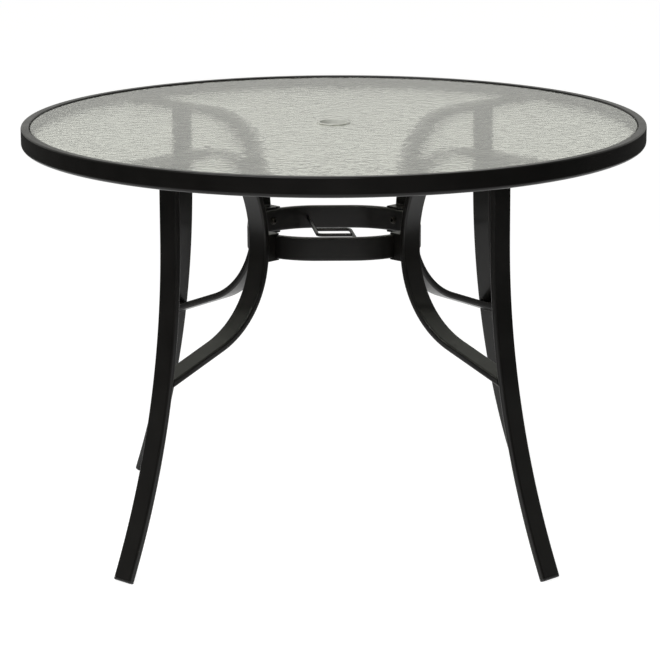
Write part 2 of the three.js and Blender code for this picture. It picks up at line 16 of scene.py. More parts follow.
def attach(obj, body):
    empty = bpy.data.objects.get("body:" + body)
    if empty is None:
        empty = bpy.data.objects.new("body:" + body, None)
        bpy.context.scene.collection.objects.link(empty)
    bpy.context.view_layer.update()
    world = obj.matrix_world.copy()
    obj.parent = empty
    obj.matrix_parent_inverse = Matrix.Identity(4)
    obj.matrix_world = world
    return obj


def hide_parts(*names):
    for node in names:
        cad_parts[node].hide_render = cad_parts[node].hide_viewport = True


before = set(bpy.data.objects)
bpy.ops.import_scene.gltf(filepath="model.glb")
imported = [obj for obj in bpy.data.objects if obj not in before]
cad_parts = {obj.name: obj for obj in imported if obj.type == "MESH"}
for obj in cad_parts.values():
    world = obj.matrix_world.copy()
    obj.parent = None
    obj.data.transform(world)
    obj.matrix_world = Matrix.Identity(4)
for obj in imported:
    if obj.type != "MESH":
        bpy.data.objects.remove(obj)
scene = bpy.context.scene
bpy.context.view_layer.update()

# %% [markdown]
# ## Sizes
# All sizes are in millimetres, as on a workshop drawing, and a piece is turned to metres when it is
# finished. The table's axis is X = Y = 0, the floor is Z = 0 and the front is -Y. One leg is made
# along +X and turned to the four corners.

# %% The table's main sizes
GAP = 0.3  # the air that the solids keep between two pieces that touch

TOP = 711.0
RIM_RADIUS = 533.4
RIM_INNER = 519.4
RIM_BOTTOM = 677.0
RIM_WALL = 1.5
CHANNEL_FLOOR = RIM_BOTTOM + RIM_WALL
LEDGE_RADIUS = 513.4
LEDGE_TOP = 702.4
GLASS_TOP = 709.0
GLASS_BOTTOM = 704.0
GLASS_RADIUS = 517.8
HOLE_RADIUS = 25.5

TUBE_WIDTH = 40.0
TUBE_DEPTH = 12.0
TUBE_CORNER = 3.5
TUBE_WALL = 1.5
ARM_HEIGHT = 687.1
LEG_RADIUS = 382.5
LEG_TOP = 680.8
LEG_BEND_START = 561.0
LEG_BEND_RADIUS = 1405.0
LEG_END = 20.0

SOLE = 4.0
SOLE_CUT = 1.5  # how far its inner edge would go below the floor, where it is cut flat
inner_face, foot_drop = LEG_BEND_RADIUS + TUBE_DEPTH / 2, LEG_END + GAP + SOLE
FOOT_ANGLE = math.asin((LEG_BEND_START + SOLE_CUT) / math.hypot(inner_face, foot_drop))
FOOT_ANGLE -= math.atan2(foot_drop, inner_face)

BELLY_RADIUS = 179.5
UPPER_BEND, BELLY_BEND, LOWER_BEND = 118.0, 230.0, 156.0
UPPER_TURN, BELLY_TURN, LOWER_TURN = math.radians(67), math.radians(35), math.radians(58)
ARM_OUTER = 528.9
ARM_INNER = BELLY_RADIUS + BELLY_BEND - (BELLY_BEND - UPPER_BEND) * math.sin(UPPER_TURN)

HOOP_HALF_WIDTH = 149.0
HOOP_BEND = 120.0
HOOP_MIDDLE = 517.5
HOOP_CORNER = (HOOP_HALF_WIDTH - HOOP_BEND) * math.sqrt(2) + HOOP_BEND

CORNERS = {"front_left": -135, "front_right": -45, "rear_right": 45, "rear_left": 135}
print("the leg leaves upright by", round(math.degrees(FOOT_ANGLE), 1), "degrees at the foot")

# %% [markdown]
# ## How a piece is finished
# Every piece goes through the same last steps. Points that meet are merged and the faces are turned
# outwards. Then the mesh is scaled to metres and shaded smoothly, with a crease where two faces
# meet at more than 35 degrees. A Weighted Normal modifier lets the large flat faces keep their own
# flat shading, so a rounded corner beside one doesn't make it look swollen.

# %% Helpers that finish pieces
def finished(name, bm, material, nodes=()):
    """Turn a bmesh in millimetres into a piece of the table that stands for some of the solids."""
    bmesh.ops.remove_doubles(bm, verts=bm.verts, dist=0.002)
    bmesh.ops.recalc_face_normals(bm, faces=bm.faces)
    bmesh.ops.scale(bm, vec=(0.001, 0.001, 0.001), verts=bm.verts)
    for face in bm.faces:
        face.smooth = True
    mesh = bpy.data.meshes.new(name)
    bm.to_mesh(mesh)
    bm.free()
    mesh.set_sharp_from_angle(angle=math.radians(35))
    mesh.materials.append(material)
    piece = bpy.data.objects.new(name, mesh)
    scene.collection.objects.link(piece)
    piece.modifiers.new("even shading", "WEIGHTED_NORMAL").keep_sharp = True
    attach(piece, "root")
    if nodes:
        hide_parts(*nodes)
    return piece


def turned_about(bm, degrees, axis="Z"):
    """Turn a whole bmesh about one of the table's axes."""
    turn = Matrix.Rotation(math.radians(degrees), 3, axis)
    bmesh.ops.rotate(bm, cent=(0, 0, 0), matrix=turn, verts=bm.verts)
    return bm


def moved(bm, x=0.0, y=0.0, z=0.0):
    """Move a whole bmesh."""
    bmesh.ops.translate(bm, vec=(x, y, z), verts=bm.verts)
    return bm


def at_each_corner(make, name, material, node=None):
    """Make a piece along +X once for each corner, and turn it to its place there."""
    for corner, azimuth in CORNERS.items():
        nodes = [f"{node}_{corner}"] if node else []
        finished(f"{corner}_{name}", turned_about(make(), azimuth), material, nodes)


def joined(*parts):
    """Put several bmeshes into the first one."""
    whole = parts[0]
    for part in parts[1:]:
        mesh = bpy.data.meshes.new("part")
        part.to_mesh(mesh)
        part.free()
        whole.from_mesh(mesh)
        bpy.data.meshes.remove(mesh)
    return whole


def ring_of(bm, points):
    """A closed ring of edges through a few points, filled with one face."""
    verts = [bm.verts.new(point) for point in points]
    return bm.faces.new(verts)


def rounded(bm, parts, radius, segments, affect="EDGES"):
    """Round some edges, or the corners of a flat outline."""
    shape = {"offset_type": "OFFSET", "profile": 0.5, "affect": affect, "material": -1}
    bmesh.ops.bevel(bm, geom=parts, offset=radius, segments=segments, **shape)


def full_spin(bm, geom, steps):
    """Spin a line or an outline all the way round the Z axis."""
    circle = {"cent": (0, 0, 0), "axis": (0, 0, 1), "angle": math.tau, "use_merge": True}
    bmesh.ops.spin(bm, geom=geom, steps=steps, **circle)
    return bm


def spun_section(corners, segments, steps):
    """Spin a section, {(radius, height): rounding of that corner}, round the table's axis."""
    bm = bmesh.new()
    ring_of(bm, [(x, 0, z) for x, z in corners])
    for (x, z), rounding in corners.items():
        if rounding:
            here = [v for v in bm.verts if abs(v.co.x - x) < 0.01 and abs(v.co.z - z) < 0.01]
            rounded(bm, here, rounding, segments, "VERTICES")
    bmesh.ops.delete(bm, geom=bm.faces[:], context="FACES_ONLY")
    return full_spin(bm, bm.verts[:] + bm.edges[:], steps)


# %% [markdown]
# ## Flat tube
# The legs, the braces and the hoop are one kind of steel tube, 40 by 12 mm with rounded corners,
# bent on formers. The mesh is made in the same way: the outline of the tube is pushed straight out
# with extrude, and swung round the middle of a former with spin. The route lies in the XZ plane,
# and a heading is an angle from +X towards +Z, so a tube that goes down has a heading of -90
# degrees.

# %% A tube that runs along straights and bends
def outline(width, depth, corner, segments=6):
    """A rectangle with round corners, thin along X and wide along Y."""
    bm = bmesh.new()
    bmesh.ops.create_grid(bm, x_segments=1, y_segments=1, size=0.5)
    bmesh.ops.scale(bm, vec=(depth, width, 1), verts=bm.verts)
    rounded(bm, bm.verts[:], corner, segments, "VERTICES")
    return bm


class Run:
    """A section pushed along a route. It remembers the last ring, its place and its heading."""

    def __init__(self, bm, x, z, heading):
        self.bm, self.x, self.z, self.heading = bm, x, z, heading
        turn = Matrix.Rotation(math.pi / 2 - heading, 3, "Y")
        bmesh.ops.rotate(bm, cent=(0, 0, 0), matrix=turn, verts=bm.verts)
        bmesh.ops.translate(bm, vec=(x, 0, z), verts=bm.verts)
        self.ring = bm.edges[:]

    def straight(self, length):
        out = bmesh.ops.extrude_edge_only(self.bm, edges=self.ring)["geom"]
        step = Vector((math.cos(self.heading), 0, math.sin(self.heading))) * length
        verts = [part for part in out if isinstance(part, bmesh.types.BMVert)]
        bmesh.ops.translate(self.bm, vec=step, verts=verts)
        self.ring = [part for part in out if isinstance(part, bmesh.types.BMEdge)]
        self.ring = [e for e in self.ring if all(v in verts for v in e.verts)]
        self.x += step.x
        self.z += step.z
        return self

    def bend(self, radius, turn, steps):
        side = math.copysign(1, turn)
        reach = side * radius
        x = self.x - reach * math.sin(self.heading)
        z = self.z + reach * math.cos(self.heading)
        geom = list({v for e in self.ring for v in e.verts}) + self.ring
        out = bmesh.ops.spin(
            self.bm, geom=geom, cent=(x, 0, z), axis=(0, -1, 0), angle=turn, steps=steps
        )
        self.ring = [part for part in out["geom_last"] if isinstance(part, bmesh.types.BMEdge)]
        self.heading += turn
        self.x = x + reach * math.sin(self.heading)
        self.z = z - reach * math.cos(self.heading)
        return self

    def slide_end_to(self, point, normal):
        """Cope the end: slide each point of the last ring along the tube to a plane."""
        along = Vector((math.cos(self.heading), 0, math.sin(self.heading)))
        for vert in {v for e in self.ring for v in e.verts}:
            vert.co += along * (Vector(point) - vert.co).dot(normal) / along.dot(normal)
        return self

    def closed(self):
        bmesh.ops.contextual_create(self.bm, geom=self.ring)
        return self.bm


# %% [markdown]
# ## Weld beads
# Where two tubes meet, the welder leaves a bead: a low ridge with a ripple for each drop of metal.
# A photograph from across the garden hides it, but it is what makes a joint look made rather than
# guessed. A bead is a small disc pushed along in short steps, swelling and shrinking a little.

# %% A straight weld bead
def weld_bead(start, end, radius, pitch=2.2):
    """A rippled bead from one point to another, with rounded ends."""
    start, end = Vector(start), Vector(end)
    count = max(4, round((end - start).length / pitch * 2))
    tip, trough = 0.35, 0.86  # widths, as shares of the bead's full width
    bm = bmesh.new()
    bmesh.ops.create_circle(bm, cap_ends=True, radius=radius * tip, segments=10)
    tilt = (end - start).to_track_quat("Z", "Y").to_matrix()
    bmesh.ops.rotate(bm, cent=(0, 0, 0), matrix=tilt, verts=bm.verts)
    bmesh.ops.translate(bm, vec=start, verts=bm.verts)
    face, centre, size = bm.faces[:][0], start, tip
    for i in range(1, count + 1):
        region = bmesh.ops.extrude_face_region(bm, geom=[face])["geom"]
        face = next(part for part in region if isinstance(part, bmesh.types.BMFace))
        step = (end - start) / count
        bmesh.ops.translate(bm, vec=step, verts=face.verts[:])
        centre = centre + step
        taper = min(1.0, 0.45 + 0.6 * min(i, count - i))
        new_size = taper * (1.0 if i % 2 else trough)
        grow = new_size / size
        about = Matrix.Translation(-centre)
        bmesh.ops.scale(bm, vec=(grow, grow, grow), space=about, verts=face.verts[:])
        size = new_size
    return bm


# %% [markdown]
# ## Materials: a few small helpers
# A colour is written as the hex value that a paint chart or a photograph gives, and turned to the
# linear light that the renderer counts in. One helper adds a node with its settings and links.
# Three more use it for what most finishes share: a soft noise, two close colours that it mixes, and
# bumps.

# %% Colour and node helpers
def linear(hex_colour):
    """A hex colour, as on a screen, in linear light."""
    screen = [int(hex_colour[i : i + 2], 16) / 255 for i in (1, 3, 5)]
    light = [c / 12.92 if c <= 0.04045 else ((c + 0.055) / 1.055) ** 2.4 for c in screen]
    return (*light, 1.0)


def add(tree, kind, inputs=None, **settings):
    """Add a node. Each input is a value, or another node's output to link."""
    node = tree.nodes.new(kind)
    for name, value in settings.items():
        setattr(node, name, value)
    for name, value in (inputs or {}).items():
        if isinstance(value, bpy.types.NodeSocket):
            tree.links.new(value, node.inputs[name])
        else:
            node.inputs[name].default_value = value
    return node


def new_material(name, **shader):
    """A material with a Principled shader. Returns it with its node tree and the shader."""
    material = bpy.data.materials.new(name)
    material.use_nodes = True
    tree = material.node_tree
    surface = tree.nodes["Principled BSDF"]
    for socket, value in shader.items():
        surface.inputs[socket.replace("_", " ")].default_value = value
    return material, tree, surface


def per_mm(size):
    """A pattern's scale, in metres, for features of this size in millimetres."""
    return 1000 / size


def noise(tree, size, detail):
    """A soft noise over the surface, with features of a size in millimetres."""
    place = add(tree, "ShaderNodeTexCoord").outputs["Object"]
    inputs = {"Vector": place, "Scale": per_mm(size), "Detail": detail}
    return add(tree, "ShaderNodeTexNoise", inputs).outputs["Fac"]


def two_tone(tree, shader, pattern, dark, light):
    """Let a pattern mix two close colours."""
    colours = {"Factor": pattern, "A": linear(dark), "B": linear(light)}
    mixed = add(tree, "ShaderNodeMix", colours, data_type="RGBA")
    tree.links.new(mixed.outputs["Result"], shader.inputs["Base Color"])


def bumps(tree, shader, pattern, depth):
    """Shade a pattern as bumps of a depth in millimetres."""
    inputs = {"Height": pattern, "Distance": depth / 1000, "Strength": 1.0}
    bump = add(tree, "ShaderNodeBump", inputs)
    tree.links.new(bump.outputs["Normal"], shader.inputs["Normal"])


# %% [markdown]
# ## Black powder coat
# The frame is mild steel with a black polyester powder baked on. Powder melts into a film with a
# very fine orange-peel ripple, about 2 mm from crest to crest and a few hundredths deep, and its
# gloss is satin. The steel under it never shows, so it isn't metallic. The specular level is low,
# because the film holds a matting agent, and a weak coat stands for the smooth resin on top: it
# draws the thin lines along the round corners. Two noises do the work: a fine one for the peel, and
# a broad one that changes the gloss and colour a little from place to place, where the film is
# thicker or thinner.

# %% Powder coat
powder_coat, tree, shader = new_material(
    "black satin powder coat",
    IOR=1.5,
    Specular_IOR_Level=0.18,
    Coat_Weight=0.25,
    Coat_Roughness=0.1,
)
broad = noise(tree, 60, 3.0)
two_tone(tree, shader, broad, "#0f0e0d", "#191715")
from_to = {"From Min": 0.3, "From Max": 0.7, "To Min": 0.3, "To Max": 0.4}
gloss = add(tree, "ShaderNodeMapRange", {"Value": broad, **from_to}).outputs["Result"]
tree.links.new(gloss, shader.inputs["Roughness"])
bumps(tree, shader, noise(tree, 2.0, 1.5), 0.04)
print("powder coat: peel every 2 mm, gloss patches of 60 mm")

# %% [markdown]
# ## Rippled glass
# The pane was rolled while soft between a smooth and a wavy roller, and then tempered. The waves
# are 8 by 16 mm and 0.16 mm deep, longer across the table than along the view, so from the front
# they make fine level streaks. Each one works as a lens: a tube just under the pane still shows as
# a clear band, and the parts further down have feathered edges. A bump on the shader bends the
# light that goes through just as real waves would, for far fewer faces. The grey-green colour is
# the iron in the glass, and a twentieth of the light is scattered, as on glass that has been
# outdoors.

# %% Rippled glass
WAVE_WIDTH, WAVE_LENGTH, WAVE_DEPTH = 8.0, 16.0, 0.16
rippled_glass, tree, shader = new_material(
    "rippled tempered glass",
    Base_Color=linear("#d7d9ce"),
    Roughness=0.02,
    IOR=1.52,
    Transmission_Weight=0.95,
)
place = add(tree, "ShaderNodeTexCoord").outputs["Object"]
longer = WAVE_WIDTH / WAVE_LENGTH
stretch = add(tree, "ShaderNodeMapping", {"Vector": place, "Scale": (longer, 1.0, 0.0)})
inputs = {"Scale": per_mm(WAVE_WIDTH), "Detail": 0.0, "Distortion": 0.6}
inputs["Vector"] = stretch.outputs["Vector"]
bumps(tree, shader, add(tree, "ShaderNodeTexNoise", inputs).outputs["Fac"], WAVE_DEPTH)

# %% [markdown]
# ## Plastics and plated steel
# The foot caps are injection-moulded polyethylene, black right through, with the dull grain of a
# spark-eroded mould. The strip round the glass is soft black vinyl. The ring in the umbrella hole
# is unpigmented polypropylene: milky, and as pale as the glass round it, so it hardly shows. The
# bolts are zinc-plated and dyed black: a metal with a thin film that is a little browner here and
# there.

# %% Plastics and black zinc
cap_plastic, tree, shader = new_material("moulded black polyethylene", Roughness=0.5, IOR=1.5)
two_tone(tree, shader, noise(tree, 9, 4.0), "#161616", "#242423")
bumps(tree, shader, noise(tree, 0.8, 2.0), 0.05)

vinyl, tree, shader = new_material("soft black vinyl", Roughness=0.55, IOR=1.5)
two_tone(tree, shader, noise(tree, 15, 3.0), "#1b1b1a", "#2b2b29")

milky_plastic, tree, shader = new_material(
    "milky polypropylene", Roughness=0.4, IOR=1.49, Transmission_Weight=0.1
)
two_tone(tree, shader, noise(tree, 12, 2.0), "#ebece3", "#f3f4ec")

black_zinc, tree, shader = new_material("black zinc plate", Metallic=1.0, Roughness=0.38)
two_tone(tree, shader, noise(tree, 3, 3.0), "#1d1c1b", "#34312d")
print(len(bpy.data.materials), "materials so far")

# %% [markdown]
# ## The rim
# The rim is one strip of 1.5 mm steel, roll-formed into a channel that is open towards the middle
# and then rolled into a ring: a flat lip on top, a round lower edge, and a ledge inside that
# carries the glass. Its section is drawn once, each fold is rounded with the radius that the
# rollers give it, and the section is spun about the table's axis.

# %% Rim
STEPS_ROUND = 180
inside, under_lip = RIM_RADIUS - RIM_WALL, TOP - RIM_WALL
lip_back, under_ledge = RIM_INNER + RIM_WALL, LEDGE_TOP - RIM_WALL
flange_edge = RIM_RADIUS - 19.0
rim_section = {
    (LEDGE_RADIUS, under_ledge): 0.5,
    (lip_back, under_ledge): 2.2,
    (lip_back, under_lip): 0.5,
    (inside, under_lip): 1.5,
    (inside, CHANNEL_FLOOR): 5.5,
    (flange_edge, CHANNEL_FLOOR): 0.5,
    (flange_edge, RIM_BOTTOM): 0.5,
    (RIM_RADIUS, RIM_BOTTOM): 7.0,
    (RIM_RADIUS, TOP): 3.0,
    (RIM_INNER, TOP): 2.0,
    (RIM_INNER, LEDGE_TOP): 0.8,
    (LEDGE_RADIUS, LEDGE_TOP): 0.5,
}
rim = spun_section(rim_section, 6, STEPS_ROUND)
rim = finished("rolled_rim", rim, powder_coat, ["table_rim"])
print("rim:", len(rim.data.polygons), "faces")

# %% [markdown]
# ## Glass, its strip and the ring in the hole
# These three are turned shapes too. The pane's edges are ground to a pencil round before tempering.
# The strip is an L of vinyl under and round the edge, which stops the glass from rattling on steel.
# The ring snaps into the hole and keeps an umbrella's pole off the glass.

# %% Glass pane, edge strip and hole ring
PANE_EDGE = 1.4
pane_corners = [
    (HOLE_RADIUS, GLASS_BOTTOM),
    (GLASS_RADIUS, GLASS_BOTTOM),
    (GLASS_RADIUS, GLASS_TOP),
    (HOLE_RADIUS, GLASS_TOP),
]
pane = spun_section(dict.fromkeys(pane_corners, PANE_EDGE), 4, STEPS_ROUND)
pane = finished("glass_pane", pane, rippled_glass, ["glass_top"])

strip_inside, strip_outside = GLASS_RADIUS + GAP, RIM_INNER - GAP
strip_bottom, under_glass = LEDGE_TOP + GAP, GLASS_BOTTOM - GAP
strip_section = {
    (LEDGE_RADIUS, strip_bottom): 0,
    (strip_outside, strip_bottom): 0,
    (strip_outside, GLASS_TOP): 0.4,
    (strip_inside, GLASS_TOP): 0.4,
    (strip_inside, under_glass): 0,
    (LEDGE_RADIUS, under_glass): 0.4,
}
strip = spun_section(strip_section, 3, STEPS_ROUND)
finished("edge_strip", strip, vinyl, ["glass_edge_strip"])

sleeve = HOLE_RADIUS - GAP
bore, flange = sleeve - 1.7, sleeve + 3.3
ring_bottom, flange_bottom, flange_top = GLASS_BOTTOM - 2.0, GLASS_TOP + 0.2, GLASS_TOP + 1.8
ring_section = {
    (bore, ring_bottom): 0.4,
    (sleeve, ring_bottom): 0.6,
    (sleeve, flange_bottom): 0,
    (flange, flange_bottom): 0.3,
    (flange, flange_top): 1.2,
    (bore, flange_top): 1.2,
}
ring = spun_section(ring_section, 5, 72)
finished("hole_ring", ring, milky_plastic, ["umbrella_hole_ring"])
print("pane:", len(pane.data.polygons), "faces")

# %% [markdown]
# ## Legs
# A leg comes straight down from under the arm and then sweeps out in one long bend, as a tube does
# in a roller bender. It ends in a short straight piece, where the foot cap plugs in.

# %% Legs
def leg_tube():
    run = Run(outline(TUBE_WIDTH, TUBE_DEPTH, TUBE_CORNER), LEG_RADIUS, LEG_TOP, -math.pi / 2)
    run.straight(LEG_TOP - LEG_BEND_START).bend(LEG_BEND_RADIUS, FOOT_ANGLE, 40).straight(LEG_END)
    return run.closed()


at_each_corner(leg_tube, "leg_tube", powder_coat, "leg")

# %% [markdown]
# ## Braces
# A brace is one tube with three bends. Its straight upper end is the arm that carries the rim, its
# belly comes in to the hoop, and its lower end is cut to lie on the leg's curved inner face.

# %% Braces
leg_bend_centre = Vector((LEG_RADIUS + LEG_BEND_RADIUS, 0, LEG_BEND_START))


def where_it_meets_the_leg(x, z, heading):
    """Where a line in the XZ plane reaches the leg's inner face, and the way into the leg."""
    start, along = Vector((x, 0, z)), Vector((math.cos(heading), 0, math.sin(heading)))
    back = start - leg_bend_centre
    beyond = back.length_squared - inner_face**2
    reach = -back.dot(along) - math.sqrt(back.dot(along) ** 2 - beyond)
    point = start + along * reach
    return point, (leg_bend_centre - point).normalized()


def brace_run():
    run = Run(outline(TUBE_WIDTH, TUBE_DEPTH, TUBE_CORNER), ARM_OUTER, ARM_HEIGHT, math.pi)
    run.straight(ARM_OUTER - ARM_INNER)
    run.bend(UPPER_BEND, UPPER_TURN, 20)
    run.bend(BELLY_BEND, BELLY_TURN, 14)
    run.bend(LOWER_BEND, LOWER_TURN, 20)
    return run


def brace_tube():
    """A stub is added to the run, and its end is slid on along the tube to the leg's face."""
    run, stub = brace_run(), 5.0
    point, inward = where_it_meets_the_leg(run.x, run.z, run.heading)
    return run.straight(stub).slide_end_to(point, inward).closed()


at_each_corner(brace_tube, "brace_tube", powder_coat, "brace")
probe = brace_run()
joint, into_leg = where_it_meets_the_leg(probe.x, probe.z, probe.heading)
low_heading = probe.heading
probe.bm.free()
print("a brace meets its leg at height", round(joint.z), "mm")

# %% [markdown]
# ## Hoop
# The hoop is the same tube with its wide side upright, bent round four large corners and welded
# shut. The route is laid out in the XZ plane like the others, then the whole hoop is tipped to lie
# level.

# %% Hoop
def level(bm, height):
    """Tip a piece from the XZ plane to lie level at a height."""
    return moved(turned_about(bm, -90, "X"), z=height)


def centre_hoop():
    bm = outline(TUBE_WIDTH, TUBE_DEPTH, TUBE_CORNER)
    bmesh.ops.delete(bm, geom=bm.faces[:], context="FACES_ONLY")
    half_side = HOOP_HALF_WIDTH - HOOP_BEND
    run = Run(bm, -half_side, TUBE_DEPTH / 2 - HOOP_HALF_WIDTH, 0)
    for _ in CORNERS:
        run.straight(2 * half_side).bend(HOOP_BEND - TUBE_DEPTH / 2, math.pi / 2, 24)
    return level(bm, HOOP_MIDDLE)


hoop = finished("bent_hoop", centre_hoop(), powder_coat, ["centre_hoop"])
print("hoop:", len(hoop.data.polygons), "faces")

# %% [markdown]
# ## Saddles
# A saddle is a stamped steel box that joins the hoop to a brace. Its lips lie over and under the
# hoop, its web is curved to the hoop and its back is curved to the brace. The side view is drawn
# and extruded across in steps, so that the web can take the hoop's curve, and the edges are rounded
# as a press leaves them.

# %% Saddles
SADDLE_WIDTH = 38.0
SADDLE_PLATE = 3.0
SADDLE_REACH = 10.0
SADDLE_STEPS = 8
SADDLE_TOP = TUBE_WIDTH / 2 + GAP + SADDLE_PLATE  # over the hoop's middle
BELLY_MIDDLE = ARM_HEIGHT - UPPER_BEND - (BELLY_BEND - UPPER_BEND) * math.cos(UPPER_TURN)
WEB = HOOP_CORNER + GAP


def brace_face(z):
    """How far from the axis the brace's inner face is, at a height beside the hoop."""
    face = BELLY_BEND + TUBE_DEPTH / 2
    return BELLY_RADIUS + BELLY_BEND - math.sqrt(face**2 - (z - BELLY_MIDDLE) ** 2)


def saddle():
    bm = bmesh.new()
    bottom, top = HOOP_MIDDLE - SADDLE_TOP, HOOP_MIDDLE + SADDLE_TOP
    low, high, lip = bottom + SADDLE_PLATE, top - SADDLE_PLATE, HOOP_CORNER - SADDLE_REACH
    into_brace, between = 1.5, 8.0
    heights = (top, high - between, HOOP_MIDDLE, low + between, bottom)
    back = [(brace_face(z) + into_brace, z) for z in heights]
    side = [(lip, high), (lip, top), *back, (lip, bottom), (lip, low), (WEB, low), (WEB, high)]
    face = ring_of(bm, [(x, -SADDLE_WIDTH / 2, z) for x, z in side])
    for _ in range(SADDLE_STEPS):
        region = bmesh.ops.extrude_face_region(bm, geom=[face])["geom"]
        face = next(part for part in region if isinstance(part, bmesh.types.BMFace))
        bmesh.ops.translate(bm, vec=(0, SADDLE_WIDTH / SADDLE_STEPS, 0), verts=face.verts[:])
    for vert in bm.verts:
        if abs(vert.co.x - WEB) < 0.01:
            bend = HOOP_BEND + GAP
            vert.co.x += math.sqrt(bend**2 - vert.co.y**2) - bend
    bm.normal_update()
    hard = [e for e in bm.edges if e.is_manifold and e.is_convex and e.calc_face_angle() > 1.0]
    hard = [e for e in hard if min(v.co.x for v in e.verts) < WEB + 1]
    rounded(bm, hard, 1.0, 3)
    return bm


at_each_corner(saddle, "saddle", powder_coat, "saddle")

# %% [markdown]
# ## Pole guide
# Two bent rods inside the hoop lock into a rectangle that steadies an umbrella's pole. Each rod is
# a circle pushed along its route, and the second is the first turned half way round.

# %% Guide rods
GUIDE_SLANT = math.radians(6)
GUIDE_BEND = 9.0
GUIDE_HALF_WIDTH, GUIDE_HALF_DEPTH = 28.0, 24.0
ROD_RADIUS = 3.0


def guide_rod(turn):
    start_y = HOOP_HALF_WIDTH - TUBE_DEPTH / 2
    back = (start_y + GUIDE_HALF_DEPTH) / math.cos(GUIDE_SLANT)
    aside = 2 * (GUIDE_HALF_WIDTH + GUIDE_HALF_DEPTH * math.tan(GUIDE_SLANT))
    bend = math.pi / 2 - GUIDE_SLANT
    cut = GUIDE_BEND * math.tan(bend / 2)
    start_x = -GUIDE_HALF_WIDTH - back * math.sin(GUIDE_SLANT)
    bm = bmesh.new()
    bmesh.ops.create_circle(bm, cap_ends=True, radius=ROD_RADIUS, segments=20)
    run = Run(bm, start_x, start_y, GUIDE_SLANT - math.pi / 2)
    run.straight(back - cut).bend(GUIDE_BEND, bend, 12).straight(aside - cut)
    return turned_about(level(run.closed(), HOOP_MIDDLE), turn)


for side, turn in (("left", 0), ("right", 180)):
    rod, node = guide_rod(turn), f"guide_rod_{side}"
    finished(f"bent_{node}", rod, powder_coat, [node])

# %% [markdown]
# ## Foot caps
# A cap is a plug with a sole as wide as the tube. It is made upside down along Z, with the tube's
# end at zero, then turned to the end of the leg. Its lower edge is rounded more than the one
# against the tube, and it is cut with a plane where it stands on the floor.

# %% Foot caps
PLUG_LENGTH = 16.0
FOOT = Vector((LEG_RADIUS, 0, LEG_BEND_START))
FOOT += LEG_BEND_RADIUS * Vector((1 - math.cos(FOOT_ANGLE), 0, -math.sin(FOOT_ANGLE)))
FOOT += LEG_END * Vector((math.sin(FOOT_ANGLE), 0, -math.cos(FOOT_ANGLE)))


def block_of(bm, height):
    """Push a flat face up into a block."""
    region = bmesh.ops.extrude_face_region(bm, geom=bm.faces[:])["geom"]
    verts = [part for part in region if isinstance(part, bmesh.types.BMVert)]
    bmesh.ops.translate(bm, vec=(0, 0, height), verts=verts)
    return bm


def soften(bm, radius, segments=3, angle=1.0):
    """Round every edge that turns sharper than an angle."""
    bm.normal_update()
    hard = [e for e in bm.edges if e.is_manifold and e.calc_face_angle() > angle]
    rounded(bm, hard, radius, segments)
    return bm


def foot_cap():
    sole = block_of(outline(TUBE_WIDTH, TUBE_DEPTH, TUBE_CORNER), SOLE)
    for height, radius in ((SOLE, 2.6), (0.0, 0.5)):
        border = [e for e in sole.edges if all(abs(v.co.z - height) < 0.01 for v in e.verts)]
        rounded(sole, border, radius, 5)
    inset, into_sole = 2 * (TUBE_WALL + GAP), 1.0
    plug = outline(TUBE_WIDTH - inset, TUBE_DEPTH - inset, TUBE_WALL, 3)
    plug = moved(block_of(plug, PLUG_LENGTH + into_sole), z=-PLUG_LENGTH)
    bm = joined(moved(sole, z=GAP), plug)
    turned_about(bm, 180 - math.degrees(FOOT_ANGLE), "Y")
    moved(bm, FOOT.x, 0, FOOT.z)
    everything = bm.verts[:] + bm.edges[:] + bm.faces[:]
    floor = {"plane_co": (0, 0, 0), "plane_no": (0, 0, -1)}
    cut = bmesh.ops.bisect_plane(bm, geom=everything, clear_outer=True, **floor)
    edges = [part for part in cut["geom_cut"] if isinstance(part, bmesh.types.BMEdge)]
    bmesh.ops.contextual_create(bm, geom=edges)
    return bm


at_each_corner(foot_cap, "foot_cap", cap_plastic, "foot_cap")
print("the foot ends", round(FOOT.x), "mm from the axis")

# %% [markdown]
# ## Tabs and bolts
# A tab lies in the rim's channel under each arm, and two bolts go up through it. One more bolt
# holds the hoop to each saddle. The bolts have a button head on a washer face, with a hexagon
# socket. The head is turned, and its round mouth is bridged to a hexagon that is pushed down into
# the head.

# %% Tabs
TAB_WIDTH, TAB_LENGTH, TAB_CORNER, TAB_THICKNESS = 34.0, 54.7, 5.0, 2.0
TAB_MIDDLE = 498.75


def rim_tab():
    tab = block_of(outline(TAB_WIDTH, TAB_LENGTH, TAB_CORNER, 5), TAB_THICKNESS)
    return moved(soften(tab, 0.4, 2), x=TAB_MIDDLE, z=CHANNEL_FLOOR + GAP)


at_each_corner(rim_tab, "rim_tab_plate", powder_coat, "rim_tab")


# %% Bolts
HOOP_BOLT_GRIP, RIM_BOLT_GRIP = 21.5, 9.4
OUTER_BOLT, INNER_BOLT = 504.4, 482.4
SOCKET_RADIUS, SOCKET_TOP, SOCKET_DEPTH = 2.9, 4.0, 2.4


